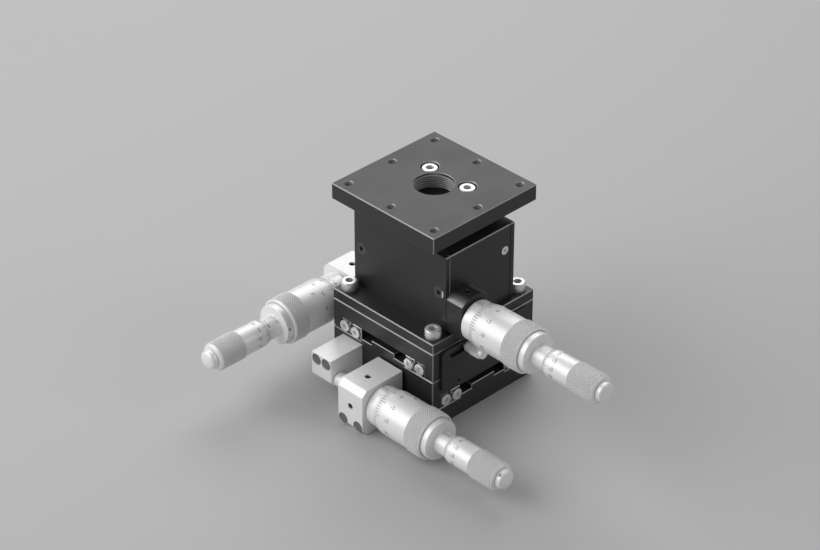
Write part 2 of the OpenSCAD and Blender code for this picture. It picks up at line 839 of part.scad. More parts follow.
// Thumbscrew: collar, neck, knurled grip and tapered end
module lock_screw() {
    collar_r = collar_d / 2;
    grip_r = grip_d / 2;
    thread_r = lock_thread_d / 2;
    foot = -lock_t - touch - lock_grip;
    grip_s = collar_l + neck_l;
    color("#c4c6ca")
    translate([lock_x, half_w + lock_t + touch, lock_screw_z])
        rotate([-90, 0, 0])
            rotate_extrude()
                polygon([[0, foot], [thread_r, foot], [thread_r, 0],
                    [collar_r - knob_edge, 0], [collar_r, knob_edge],
                    [collar_r, collar_l - knob_edge], [collar_r - knob_edge, collar_l],
                    [neck_d / 2, collar_l], [neck_d / 2, grip_s],
                    [grip_r - knob_edge, grip_s], [grip_r, grip_s + knob_edge],
                    [grip_r, knob_l - grip_end_l], [grip_r - grip_taper, knob_l], [0, knob_l]]);
}

// Adapter plate and lift housing

module adapter_plate() {
    color("#2b2c2e")
    difference() {
        translate([0, 0, table_top]) chamfered_box(plate_w, plate_w, adapter_h, plate_edge);
        corner_places()
            translate([0, 0, table_top - cut])
                cylinder(h = adapter_h + 2 * cut, d = corner_thread_d + 2 * head_room);
    }
}

module adapter_bolts() {
    color("#d2d4d6")
    corner_places()
        translate([0, 0, house_z])
            socket_screw(corner_head_d, corner_head_h, corner_thread_d, adapter_h + corner_grip,
                corner_key);
}

// Places of the side screws on the front side plate
module side_screw_places() {
    for (x = [-side_screw_x, side_screw_x])
        translate([x, -house_w / 2, house_z + side_screw_z]) rotate([90, 0, 0]) children();
}

module back_side() {
    mirror([0, 1, 0]) children();
}

module cover_screw_place() {
    translate([house_front, cover_screw_y, house_z + cover_screw_z])
        rotate([0, 90, 0]) children();
}

module z_frame() {
    color("#2b2c2e")
    difference() {
        union() {
            translate([-house_back, -inner_w / 2, house_z])
                cube([house_back + house_front - cover_t, inner_w, floor_t]);
            translate([-house_back, -inner_w / 2, house_z]) cube([back_t, inner_w, house_h]);
            translate([front_face, -inner_w / 2, house_z]) cube([front_t, inner_w, house_h]);
        }
        shank_hole();
        side_screw_places() flat_hole(house_head_d, house_thread, house_hole_l);
        back_side() side_screw_places() flat_hole(house_head_d, house_thread, house_hole_l);
        cover_screw_place() flat_hole(cover_head_d, cover_thread, house_hole_l);
    }
}

// Hole for the lift head's shank, through the front wall and the cover
module shank_hole() {
    translate([0, -z_head_y, house_z + z_head_z])
        rod_x(front_face - cut, house_front + cut, shank_d + 2 * fit);
}

module side_plate() {
    difference() {
        translate([(house_front - house_back) / 2, -inner_w / 2, house_z + house_h / 2])
            rotate([90, 0, 0])
                linear_extrude(side_t)
                    cut_rect(house_back + house_front, house_h, plate_edge);
        side_screw_places() flat_hole(house_head_d, house_thread, house_hole_l);
    }
}

// The front side plate gives way to the shank where it comes close
module z_side_plate_front() {
    color("#2b2c2e")
    difference() {
        side_plate();
        shank_hole();
    }
}

module z_side_plate_back() {
    color("#2b2c2e") back_side() side_plate();
}

module z_cover() {
    color("#2b2c2e")
    difference() {
        translate([house_front - cover_t / 2, 0, house_z])
            chamfered_box(cover_t, inner_w, house_h, plate_edge);
        shank_hole();
        cover_screw_place() flat_hole(cover_head_d, cover_thread, house_hole_l);
    }
}

module z_housing_screws() {
    color("#3c3d40") {
        side_screw_places() house_screw();
        back_side() side_screw_places() house_screw();
    }
    color("#d2d4d6")
        cover_screw_place()
            translate([0, 0, -fit])
                flat_screw(cover_head_d, cover_thread, house_screw_l, small_key);
}

module house_screw() {
    translate([0, 0, -fit])
        flat_screw(house_head_d, house_thread, house_screw_l, house_key);
}

module z_clamp_outline() {
    intersection() {
        circle(r = arch_r);
        translate([-z_clamp_w / 2, z_clamp_foot - z_head_z])
            square([z_clamp_w, arch_r + z_head_z - z_clamp_foot]);
    }
}

module z_clamp_block() {
    color("#252628")
    translate([0, -z_head_y, house_z + z_head_z])
        difference() {
            bar_x(house_front, z_clamp_face) z_clamp_outline();
            rod_x(house_front - cut, z_clamp_face + cut, shank_d + 2 * fit);
            translate([house_front + z_clamp_t / 2, 0, 0]) cylinder(h = arch_r + cut, d = set_d);
        }
}

module z_clamp_set_screw() {
    color("#8b8d90")
    translate([house_front + z_clamp_t / 2, -z_head_y, house_z + z_head_z + arch_r - set_sink])
        set_screw(arch_r - set_sink - shank_d / 2 - fit);
}

// Wedge that the lift head pushes, and the column that rides on its slope
module z_wedge() {
    width = inner_w - 2 * column_side;
    color("#9c9ea2")
    translate([0, width / 2, 0]) rotate([90, 0, 0]) linear_extrude(width)
        polygon([[wedge_nose, wedge_z], [wedge_face, wedge_z], [wedge_face, wedge_z + wedge_h],
            [wedge_nose, wedge_z + nose_t]]);
}

module z_column() {
    width = inner_w - 2 * column_side;
    slope_z = slope_c + touch;
    color("#3a3b3d")
    difference() {
        translate([0, width / 2, 0]) rotate([90, 0, 0]) linear_extrude(width)
            polygon([[column_back, column_foot], [column_foot - slope_z, column_foot],
                [column_front, column_front + slope_z], [column_front, top_z],
                [column_back, top_z]]);
        top_bolt_places()
            translate([0, 0, top_z - top_hole_l])
                cylinder(h = top_hole_l + cut, d = top_thread + 2 * fit);
    }
}

module top_bolt_places() {
    for (side = [-1, 1])
        translate([side * top_bolt_x, top_bolt_y, 0]) children();
}

// The eight mounting holes round the edge of the top plate
module rim_places() {
    corner_places() children();
    for (turn = [0, 90, 180, 270])
        rotate([0, 0, turn]) translate([corner_pitch / 2, 0, 0]) children();
}

// Countersink that widens a hole of diameter d where it opens upwards at z = 0
module mouth(d, wide) {
    depth = (wide - d) / 2;
    translate([0, 0, -depth]) cylinder(h = depth + cut, d1 = d, d2 = wide + 2 * cut);
}

module top_plate() {
    face = top_z + top_h;
    color("#2b2c2e")
    difference() {
        translate([0, 0, top_z]) chamfered_box(plate_w, plate_w, top_h, plate_edge);
        rim_places() {
            translate([0, 0, top_z - cut]) cylinder(h = top_h + 2 * cut, d = tap_d);
            translate([0, 0, face]) mouth(tap_d, tap_mouth_d);
        }
        translate([0, 0, top_z - cut]) cylinder(h = top_h + 2 * cut, d = centre_d);
        translate([0, 0, face]) mouth(centre_d, centre_d + 2 * centre_edge);
        top_bolt_places() {
            translate([0, 0, face - top_sink - top_head_h])
                cylinder(h = top_head_h + top_sink + cut, d = top_bore_d);
            translate([0, 0, face]) mouth(top_bore_d, top_bore_d + 2 * bore_edge);
            translate([0, 0, top_z - cut]) cylinder(h = top_h, d = top_thread + 2 * head_room);
        }
    }
}

module top_plate_bolts() {
    color("#d2d4d6")
    top_bolt_places()
        translate([0, 0, top_z + top_h - top_sink - top_head_h])
            socket_screw(top_head_d, top_head_h, top_thread,
                top_h - top_sink - top_head_h + top_grip, corner_key);
}

// Micrometer head, turned about its own axis with s as height

module sleeve() {
    color("#d5d6d8")
    rotate_extrude()
        polygon([[spindle_d / 2 + run, -clamp_l], [shank_d / 2, -clamp_l], [shank_d / 2, 0],
            [sleeve_d / 2 - sleeve_edge, 0], [sleeve_d / 2, sleeve_edge],
            [sleeve_d / 2, sleeve_l], [spindle_d / 2 + run, sleeve_l]]);
}

module spindle() {
    color("#c0c2c6")
    rotate_extrude()
        polygon([[0, tip_s], [spindle_d / 2 - spindle_edge, tip_s],
            [spindle_d / 2, tip_s + spindle_edge], [spindle_d / 2, spindle_end_s],
            [0, spindle_end_s]]);
}

module coarse_thimble() {
    bore = sleeve_d / 2 + run;
    rim = ring_d / 2 + groove_w;
    spindle_bore = spindle_d / 2 + run;
    floor_s = spindle_end_s + touch;
    color("#d5d6d8")
    rotate_extrude()
        polygon([[bore, sleeve_show], [bevel_d / 2, sleeve_show], [thimble_d / 2, body_s],
            [thimble_d / 2, knurl_s], [knurl_d / 2, knurl_s + (knurl_d - thimble_d) / 2],
            [knurl_d / 2, knurl_end_s], [knurl_d / 2 - knurl_edge, coarse_end_s],
            [rim, coarse_end_s], [rim, ring_s], [0, ring_s], [0, floor_s], [spindle_bore, floor_s],
            [spindle_bore, cavity_s], [bore, cavity_s]]);
}

module fine_sleeve() {
    fine_bore = stem_d / 2 + run;
    ring_r = ring_d / 2;
    color("#d5d6d8")
    rotate_extrude()
        polygon([[0, ring_s], [ring_r, ring_s],
            [ring_r, ring_end_s - ring_edge], [ring_r - ring_edge, ring_end_s],
            [fine_sleeve_d / 2, ring_end_s], [fine_sleeve_d / 2, fine_sleeve_end_s],
            [fine_bore, fine_sleeve_end_s], [fine_bore, stem_room_s], [0, stem_room_s]]);
}

module fine_thimble() {
    bore = fine_sleeve_d / 2 + run;
    color("#d5d6d8")
    rotate_extrude()
        polygon([[bore, fine_s], [fine_bevel_d / 2, fine_s], [fine_d / 2, fine_body_s],
            [fine_d / 2, fine_knurl_s],
            [fine_knurl_d / 2, fine_knurl_s + (fine_knurl_d - fine_d) / 2],
            [fine_knurl_d / 2, fine_knurl_end_s], [fine_knurl_d / 2 - fine_rim, fine_end_s],
            [stem_d / 2 + run, fine_end_s], [stem_d / 2 + run, fine_cavity_s],
            [bore, fine_cavity_s]]);
}

// Stem that carries the fine thimble, with the cap on its end
module end_cap() {
    crown = [for (a = [0, 30, 60])
        [cap_d / 2 * cos(a), cap_s + cap_l - cap_crown * (1 - sin(a))]];
    color("#d5d6d8")
    rotate_extrude()
        polygon(concat([[0, stem_s], [stem_d / 2, stem_s], [stem_d / 2, cap_s],
            [cap_d / 2, cap_s]], crown, [[0, cap_s + cap_l]]));
}

base_plate();
mirrored_rail() inner_rail();  // x_base_rail_left
inner_rail();  // x_base_rail_right
color("#dcdde0") end_screws(inner_screw);  // base_rail_screws
clamp_block();  // x_clamp_block
clamp_bolts();  // x_clamp_bolts
clamp_set_screws();  // x_clamp_set_screws
lock_plate();  // x_lock_plate
lock_plate_screws();  // x_lock_plate_screws

// Nodes of the X head
x_head_place() sleeve();  // x_sleeve
x_head_place() spindle();  // x_spindle
x_head_place() coarse_thimble();  // x_coarse_thimble
x_head_place() fine_sleeve();  // x_fine_sleeve
x_head_place() fine_thimble();  // x_fine_thimble
x_head_place() end_cap();  // x_end_cap

// Nodes of the middle plate
middle_plate();
mirrored_rail() outer_rail();  // x_table_rail_left
outer_rail();  // x_table_rail_right
upper_slide() mirrored_rail() inner_rail();  // y_base_rail_left
upper_slide() inner_rail();  // y_base_rail_right
middle_rail_screws();
anvil_block(0);  // x_anvil_block
middle_block_bolts();
lock_screw();  // x_lock_screw
upper_slide() clamp_block();  // y_clamp_block
upper_slide() clamp_set_screws();  // y_clamp_set_screws
upper_slide() lock_plate();  // y_lock_plate
upper_slide() lock_plate_screws();  // y_lock_plate_screws

// Nodes of the Y head
y_head_place() sleeve();  // y_sleeve
y_moving_place() spindle();  // y_spindle
y_moving_place() coarse_thimble();  // y_coarse_thimble
y_moving_place() fine_sleeve();  // y_fine_sleeve
y_moving_place() fine_thimble();  // y_fine_thimble
y_moving_place() end_cap();  // y_end_cap

// Nodes of the table and the lift housing
top_table();
upper_slide() mirrored_rail() outer_rail();  // y_table_rail_left
upper_slide() outer_rail();  // y_table_rail_right
color("#dcdde0") upper_slide() end_screws(outer_screw);  // table_rail_screws
upper_slide() anvil_block(y_head_out);  // y_anvil_block
upper_slide() anvil_bolts(y_head_out);  // y_anvil_bolts
upper_slide() lock_screw();  // y_lock_screw
adapter_plate();
adapter_bolts();
z_frame();
z_side_plate_front();
z_side_plate_back();
z_cover();
z_housing_screws();
z_clamp_block();
z_clamp_set_screw();

// Nodes of the lift head
z_head_place() sleeve();  // z_sleeve
z_head_place() spindle();  // z_spindle
z_head_place() coarse_thimble();  // z_coarse_thimble
z_head_place() fine_sleeve();  // z_fine_sleeve
z_head_place() fine_thimble();  // z_fine_thimble
z_head_place() end_cap();  // z_end_cap

// Nodes of the lift
z_wedge();
z_column();
top_plate();
top_plate_bolts();
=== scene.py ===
"""Looks of a three-axis translation stage: micrometer details, finishes, light and camera.

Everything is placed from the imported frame. Lengths are in millimetres until a mesh is made.
"""

import math

import bmesh
import bpy
from mathutils import Matrix, Vector

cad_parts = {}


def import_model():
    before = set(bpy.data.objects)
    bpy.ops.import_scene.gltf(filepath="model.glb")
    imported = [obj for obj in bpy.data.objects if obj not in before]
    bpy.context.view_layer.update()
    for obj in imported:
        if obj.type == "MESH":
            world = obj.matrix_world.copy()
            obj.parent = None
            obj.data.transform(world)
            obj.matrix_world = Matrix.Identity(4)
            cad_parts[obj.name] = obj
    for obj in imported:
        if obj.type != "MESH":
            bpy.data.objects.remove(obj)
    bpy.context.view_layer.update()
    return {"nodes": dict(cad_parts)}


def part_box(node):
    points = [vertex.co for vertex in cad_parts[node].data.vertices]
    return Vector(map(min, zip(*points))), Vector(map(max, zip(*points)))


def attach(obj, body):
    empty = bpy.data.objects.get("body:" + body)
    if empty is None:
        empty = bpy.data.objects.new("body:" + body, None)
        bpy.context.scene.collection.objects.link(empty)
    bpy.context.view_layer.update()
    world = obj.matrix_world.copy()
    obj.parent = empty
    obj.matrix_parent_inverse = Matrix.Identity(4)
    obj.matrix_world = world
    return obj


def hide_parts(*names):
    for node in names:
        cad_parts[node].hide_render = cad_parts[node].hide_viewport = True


MM = 0.001

# Camera: the photograph's direction in degrees, and its lens
CAMERA_AZIMUTH = 45.61
CAMERA_ELEVATION = 33.6
CAMERA_ROLL = 0.06
CAMERA_AIM = (-14.15, 0.0, 43.17)
CAMERA_DISTANCE = 1227.4
LENS, SENSOR = 126.7, 36.0
FLOOR_HALF = 4000.0

# The three heads: outward direction, the body of the sleeve, and the angle of the cap's hole
HEADS = {
    "x": {"out": (1, 0, 0), "carrier": "base", "shift": 0.0, "cap_turn": 37.5},
    "y": {"out": (0, -1, 0), "carrier": "middle", "shift": 2.6, "cap_turn": 150.0},
    "z": {"out": (1, 0, 0), "carrier": "table", "shift": 0.0, "cap_turn": 170.0},
}

# Head profile, with s measured outwards from the clamp's face
SPINDLE_BORE_R = 3.3
SHANK_L, SHANK_R = 14.5, 6.0
SLEEVE_R, SLEEVE_L, SLEEVE_EDGE = 9.0, 17.0, 1.0
COARSE_S, COARSE_END_S = 5.3, 32.8
BEVEL_R, BEVEL_L = 9.3, 4.2
THIMBLE_R, KNURL_R = 10.05, 10.6
KNURL_S, KNURL_END_S = 24.5, 32.0
COARSE_BORE_R, COARSE_CAVITY_S, SPINDLE_ROOM_S = 9.05, 22.45, 30.95
RIM_R, GROOVE_R = 9.8, 9.45
RING_S, RING_END_S, RING_R, RING_EDGE = 32.0, 36.0, 8.95, 0.3
FINE_SLEEVE_R, FINE_SLEEVE_END_S, STEM_BORE_R, STEM_ROOM_S = 4.95, 49.0, 2.3, 34.5
FINE_S, FINE_END_S = 42.5, 70.5
FINE_BORE_R, FINE_BEVEL_R, FINE_BEVEL_L = 5.0, 5.3, 2.5
FINE_R, FINE_KNURL_R, FINE_RIM_R = 6.0, 6.5, 5.6
FINE_KNURL_S, FINE_KNURL_END_S, FINE_CAVITY_S = 57.0, 69.5, 51.95
STEM_R, STEM_S = 2.25, 37.5
CAP_R, CAP_S, CAP_L, CAP_CROWN = 4.25, 70.65, 3.6, 1.6

# Knurls: teeth round the piece, depth, and how much painted shade darkens the bottom of a groove
COARSE_TEETH, FINE_TEETH, GRIP_TEETH = 58, 38, 22
KNURL_DEPTH, GRIP_DEPTH = 0.4, 0.35
GROOVE_SHADE = 0.28

# Holes in the sides of the head's pieces: place along the head, angle, radius and depth
RING_HOLE = {"s": 34.7, "angle": -80.0, "radius": 0.75, "depth": 1.6}
DIMPLE = {"s": 17.2, "angle": -26.0, "radius": 1.1, "depth": 0.7}
CAP_HOLE = {"s": 72.0, "radius": 0.75, "depth": 2.2}

# Scale marks: width of a line, how far it stands proud, and the size of the figures
MARK_W, MARK_LIFT = 0.2, 0.012
FIGURE_H, FINE_FIGURE_H = 1.6, 1.5
COARSE_DIVISIONS, FINE_DIVISIONS = 50, 50

# Lock screws
KNOB_L, COLLAR_R, NECK_R, GRIP_R, LOCK_THREAD_R = 9.4, 2.5, 1.8, 2.8, 1.5

# Threads in the top plate
HOLE_GRID, HOLE_R, HOLE_PITCH, HOLE_RISE = 25.0, 1.65, 0.7, 0.16
CENTRE_R, CENTRE_PITCH, CENTRE_RISE, CENTRE_EDGE = 8.75, 1.0, 0.5, 0.35

# Socket bolts of the adapter and of the top plate: head, key and shank
BOLT_HEAD_R, BOLT_HEAD_L, BOLT_KEY_R, BOLT_KEY_L, BOLT_SHANK_R = 3.5, 4.0, 1.5, 2.2, 2.0
BOLT_EDGE = 0.5

# Cross screws in the rail ends: head, cross and thread, and where they stand
END_HEAD_R, END_HEAD_L, END_EDGE, END_FACE = 2.6, 1.1, 0.3, 30.8
CROSS_R, CROSS_L, END_THREAD_R, END_THREAD_L = 1.1, 0.6, 1.0, 5.0
CROSS_ARM = 0.3
INNER_RAIL, OUTER_RAIL = 16.05, 22.55
RAIL_SCREWS = [
    ("base_rail_screws", "base", [("x", INNER_RAIL, 12.0)]),
    ("middle_rail_screws", "middle", [("x", OUTER_RAIL, 12.3), ("y", INNER_RAIL, 27.2)]),
    ("table_rail_screws", "table", [("y", OUTER_RAIL, 27.5)]),
]
COVER_FACE = 25.0

# Grain of the finishes: the ends of the pattern's range, and the broad pattern's scale
GRAIN_LOW, GRAIN_HIGH, BROAD_GRAIN = 0.6, 1.4, 90.0

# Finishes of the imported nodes, by the words in their names
FINISH_WORDS = [
    ("lock_plate_screws", "dark_screw"), ("lock_plate", "black_lock_plate"),
    ("rail_screws", "bright_screw"), ("adapter_bolts", "bright_screw"),
    ("top_plate_bolts", "bright_screw"), ("housing_screws", "housing_screw"),
    ("set_screw", "dark_screw"), ("bolts", "plain_bolt"), ("rail", "rail_steel"),
    ("spindle", "satin_chrome"), ("wedge", "rail_steel"), ("z_clamp", "black_anodised"),
    ("clamp_block", "clear_anodised"), ("anvil_block", "clear_anodised"),
]


# Meshes

def finished(bm, name, crease=28.0):
    """Makes an object of a bmesh in millimetres, smooth with crisp edges."""
    bm.normal_update()
    bmesh.ops.recalc_face_normals(bm, faces=bm.faces)
    bmesh.ops.scale(bm, vec=(MM, MM, MM), verts=bm.verts)
    mesh = bpy.data.meshes.new(name)
    bm.to_mesh(mesh)
    bm.free()
    mesh.polygons.foreach_set("use_smooth", [True] * len(mesh.polygons))
    mesh.set_sharp_from_angle(angle=math.radians(crease))
    obj = bpy.data.objects.new(name, mesh)
    bpy.context.scene.collection.objects.link(obj)
    return obj


def eased(outline, radius=0.12, steps=3):
    """Rounds each inner corner of an open outline of (r, s) points."""
    out = [outline[0]]
    for before, here, after in zip(outline, outline[1:], outline[2:]):
        a, b, c = Vector(before), Vector(here), Vector(after)
        reach = min(radius, (a - b).length * 0.4, (c - b).length * 0.4)
        start = b + (a - b).normalized() * reach
        end = b + (c - b).normalized() * reach
        for k in range(steps + 1):
            t = k / steps
            out.append(tuple(start * (1 - t) ** 2 + b * 2 * t * (1 - t) + end * t * t))
    out.append(outline[-1])
    return out


def knurl(s0, s1, radius, depth, teeth):
    """Rows of a diamond knurl as (valley radius, s, ridge radius, offset)."""
    half_tooth = math.pi * radius / teeth
    rows = round((s1 - s0) / half_tooth)
    return [(radius - depth, s0 + (s1 - s0) * k / rows, radius, k) for k in range(rows + 1)]


def ring_radius(point, i, segments):
    """Distance of a ring's vertex from the axis."""
    if len(point) == 4:
        return point[2] if (i + point[3]) % 2 else point[0]
    angle = 2 * math.pi * i / segments
    if len(point) == 2:
        return point[0]
    if point[2] == "hexagon":
        turn = (angle + math.pi / 6) % (math.pi / 3) - math.pi / 6
        return point[0] / math.cos(turn)
    turn = (angle + math.pi / 4) % (math.pi / 2) - math.pi / 4
    if abs(math.tan(turn)) < CROSS_ARM / point[0]:
        return point[0] / math.cos(turn)
    return CROSS_ARM / abs(math.sin(turn))


def turned(name, outline, segments):
    """Turns an outline round the s axis, either closed on itself or from axis to axis.

    A point of four values is a knurl row, where every other vertex stands on a ridge.
    A point of three values names the shape of its ring, a hexagon or a cross.
    """
    bm = bmesh.new()
    groove = bm.verts.layers.float.new("groove")
    rings = []
    for point in outline:
        if point[0] < 1e-6:
            rings.append([bm.verts.new((0, 0, point[1]))])
            continue
        ring = []
        for i in range(segments):
            r = ring_radius(point, i, segments)
            angle = 2 * math.pi * i / segments
            vert = bm.verts.new((r * math.cos(angle), r * math.sin(angle), point[1]))
            vert[groove] = float(len(point) == 4 and r == point[0])
            ring.append(vert)
        rings.append(ring)
    loop = len(rings[0]) > 1
    for j in range(len(rings) if loop else len(rings) - 1):
        k = (j + 1) % len(rings)
        knurled = len(outline[j]) == 4 and len(outline[k]) == 4
        for i in range(segments):
            n = (i + 1) % segments
            if len(rings[j]) == 1:
                bm.faces.new((rings[j][0], rings[k][n], rings[k][i]))
            elif len(rings[k]) == 1:
                bm.faces.new((rings[j][i], rings[j][n], rings[k][0]))
            elif knurled and (i + outline[j][3]) % 2:
                bm.faces.new((rings[j][i], rings[j][n], rings[k][i]))
                bm.faces.new((rings[j][n], rings[k][n], rings[k][i]))
            elif knurled:
                bm.faces.new((rings[j][i], rings[j][n], rings[k][n]))
                bm.faces.new((rings[j][i], rings[k][n], rings[k][i]))
            else:
                bm.faces.new((rings[j][i], rings[j][n], rings[k][n], rings[k][i]))
    return finished(bm, name)


def drilled(obj, s, angle, radius, depth, surface):
    """Cuts a round blind hole into the side of a turned piece."""
    bm = bmesh.new()
    bmesh.ops.create_cone(bm, cap_ends=True, segments=24, radius1=radius, radius2=radius,
                          depth=2 * depth)
    a = math.radians(angle)
    out = Vector((math.cos(a), math.sin(a), 0))
    place = Matrix.Translation(out * surface + Vector((0, 0, s)))
    bm.transform(place @ out.to_track_quat("Z", "X").to_matrix().to_4x4())
    cutter = finished(bm, obj.name + "_cutter")
    hole = obj.modifiers.new("hole", "BOOLEAN")
    hole.object = cutter
    hole.operation = "DIFFERENCE"
    hole.solver = "EXACT"
    graph = bpy.context.evaluated_depsgraph_get()
    graph.update()
    mesh = bpy.data.meshes.new_from_object(obj.evaluated_get(graph))
    obj.modifiers.clear()
    obj.data = mesh
    mesh.set_sharp_from_angle(angle=math.radians(28))
    bpy.data.objects.remove(cutter)
    return obj


def helix(bm, x, y, z0, z1, radius, rise, pitch, segments):
    """Adds the closed ridge of a thread to the wall of a round hole."""
    steps = int(((z1 - z0) / pitch - 1) * segments)
    rows = []
    for k in range(steps + 1):
        angle = 2 * math.pi * k / segments
        z = z0 + pitch * k / segments
        fade = min(1, 4 * k / segments, 4 * (steps - k) / segments)
        crest = radius - rise * max(fade, 0.05)
        row = []
        for r, up in ((radius, 0.05), (crest, 0.42), (crest, 0.58), (radius, 0.95)):
            place = (x + r * math.cos(angle), y + r * math.sin(angle), z + up * pitch)
            row.append(bm.verts.new(place))
        rows.append(row)
    join_rows(bm, rows)


def join_rows(bm, rows):
    """Closes rows of four vertices into one strip with both ends shut."""
    for low, high in zip(rows, rows[1:]):
        for k in range(4):
            n = (k + 1) % 4
            bm.faces.new((low[k], low[n], high[n], high[k]))
    bm.faces.new(rows[0])
    bm.faces.new(reversed(rows[-1]))


# Scales

def arc(cx, cy, rx, ry, start, end, steps=12):
    """Points along part of an ellipse, with angles in degrees."""
    angles = [math.radians(start + (end - start) * k / steps) for k in range(steps + 1)]
    return [(cx + rx * math.cos(a), cy + ry * math.sin(a)) for a in angles]


# Strokes of the figures, each in a box 0.6 wide and 1 high
FIGURES = {
    "0": [arc(0.3, 0.5, 0.3, 0.5, 0, 360)],
    "1": [[(0.1, 0.78), (0.36, 1.0), (0.36, 0.0)]],
    "2": [arc(0.3, 0.7, 0.3, 0.3, 165, -45) + [(0.0, 0.0), (0.62, 0.0)]],
    "3": [arc(0.28, 0.75, 0.27, 0.25, 160, -90), arc(0.28, 0.26, 0.31, 0.26, 90, -160)],
    "4": [[(0.46, 0.0), (0.46, 1.0), (0.0, 0.3), (0.64, 0.3)]],
    "5": [[(0.56, 1.0), (0.1, 1.0), (0.05, 0.54)] + arc(0.27, 0.32, 0.31, 0.32, 130, -150)],
}


def wrap(surface):
    """Gives a function that lays (degrees round, s, lift) on a surface of (s, radius) points."""
    def place(angle, s, lift):
        radius = surface[-1][1]
        for (s0, r0), (s1, r1) in zip(surface, surface[1:]):
            if s <= s1:
                radius = r0 + (r1 - r0) * max(s - s0, 0) / (s1 - s0)
                break
        a = math.radians(angle)
        return ((radius + lift) * math.cos(a), (radius + lift) * math.sin(a), s)
    return place


def stroke(bm, path, place, radius, width=MARK_W):
    """Lays a thin closed line on a round surface, along points of (degrees round, s)."""
    degrees = math.degrees(1 / radius)
    flat = [Vector((angle / degrees, s)) for angle, s in path]
    rows = []
    for k, point in enumerate(flat):
        along = (flat[min(k + 1, len(flat) - 1)] - flat[max(k - 1, 0)]).normalized()
        across = Vector((-along.y, along.x)) * width / 2
        row = []
        for side, lift in ((1, -MARK_LIFT), (1, MARK_LIFT), (-1, MARK_LIFT), (-1, -MARK_LIFT)):
            edge = point + across * side
            row.append(bm.verts.new(place(edge.x * degrees, edge.y, lift)))
        rows.append(row)
    join_rows(bm, rows)


def write(bm, text, angle, s, place, radius, height):
    """Writes a plain number that reads outwards along the head from s on."""
    degrees = math.degrees(1 / radius)
    for n, figure in enumerate(text):
        start = s + n * 0.85 * height
        for points in FIGURES[figure]:
            path = [(angle - (y - 0.5) * height * degrees, start + x * height)
                    for x, y in points]
            stroke(bm, path, place, radius)


def ticks_round(bm, divisions, s, length, place, radius, start=0.0):
    """Graduations round a bevel, longer at every fifth."""
    for k in range(divisions):
        angle = start + 360 * k / divisions
        reach = length if k % 5 == 0 else length * 0.6
        stroke(bm, [(angle, s), (angle, s + reach)], place, radius)


def ticks_along(bm, s, step, count, place, radius, long, short):
    """A line along the head with graduations on both sides of it."""
    degrees = math.degrees(1 / radius)
    end = s + step * count
    spans = [s + (end - s) * k / 8 for k in range(9)]
    stroke(bm, [(0, place_s) for place_s in spans], place, radius)
    for k in range(count + 1):
        side = -1 if k % 2 == 0 else 1
        reach = long if k % 10 == 0 else short
        span = [0.3 + (reach - 0.3) * j / 4 for j in range(5)]
        stroke(bm, [(side * d * degrees, s + step * k) for d in span], place, radius)


# Pieces of a head, made round the s axis

def sleeve(name):
    outline = [(SPINDLE_BORE_R, -SHANK_L), (SHANK_R, -SHANK_L), (SHANK_R, 0),
               (SLEEVE_R - SLEEVE_EDGE, 0), (SLEEVE_R, SLEEVE_EDGE), (SLEEVE_R, SLEEVE_L),
               (SPINDLE_BORE_R, SLEEVE_L)]
    return turned(name, eased(outline, 0.3), 128)


def sleeve_marks(name):
    bm = bmesh.new()
    place = wrap([(0, SLEEVE_R), (SLEEVE_L, SLEEVE_R)])
    ticks_along(bm, 1.3, 0.5, 20, place, SLEEVE_R, 2.4, 1.5)
    for k, text in enumerate(("0", "5", "10")):
        write(bm, text, -24, 0.9 + 5 * k, place, SLEEVE_R, FIGURE_H)
    return finished(bm, name)


def coarse_thimble(name):
    valley = KNURL_R - KNURL_DEPTH
    front = eased([(SPINDLE_BORE_R, SPINDLE_ROOM_S), (SPINDLE_BORE_R, COARSE_CAVITY_S),
                   (COARSE_BORE_R, COARSE_CAVITY_S), (COARSE_BORE_R, COARSE_S),
                   (BEVEL_R, COARSE_S), (THIMBLE_R, COARSE_S + BEVEL_L),
                   (THIMBLE_R, KNURL_S - 0.4), (THIMBLE_R - 0.3, KNURL_S - 0.35),
                   (THIMBLE_R - 0.3, KNURL_S - 0.05)], 0.1)
    back = eased([(valley, KNURL_END_S + 0.05), (valley, KNURL_END_S + 0.2),
                  (RIM_R, COARSE_END_S), (GROOVE_R, COARSE_END_S), (GROOVE_R, RING_S),
                  (0, RING_S)], 0.1)
    teeth = knurl(KNURL_S, KNURL_END_S, KNURL_R, KNURL_DEPTH, COARSE_TEETH)
    obj = turned(name, [(0, SPINDLE_ROOM_S)] + front + teeth + back, 2 * COARSE_TEETH)
    return drilled(obj, surface=THIMBLE_R, **DIMPLE)


def coarse_marks(name):
    bm = bmesh.new()
    place = wrap([(COARSE_S, BEVEL_R), (COARSE_S + BEVEL_L, THIMBLE_R), (KNURL_S, THIMBLE_R)])
    ticks_round(bm, COARSE_DIVISIONS, COARSE_S + 0.4, 3.6, place, THIMBLE_R)
    for k in range(COARSE_DIVISIONS // 5):
        write(bm, str(5 * k), -36 * k, 12.4, place, THIMBLE_R, FIGURE_H)
    return finished(bm, name)


def dimple_screw(name):
    """Set screw in the side of the coarse thimble, with its socket showing."""
    r = DIMPLE["radius"] - 0.05
    outline = [(0, -0.35), (0.45, -0.35), (0.45, 0), (r - 0.12, 0), (r, -0.12),
               (r, -0.6), (0, -0.6)]
    obj = turned(name, eased(outline, 0.04), 24)
    a = math.radians(DIMPLE["angle"])
    out = Vector((math.cos(a), math.sin(a), 0))
    place = Matrix.Translation((out * (THIMBLE_R - 0.1) + Vector((0, 0, DIMPLE["s"]))) * MM)
    obj.data.transform(place @ out.to_track_quat("Z", "X").to_matrix().to_4x4())
    return obj


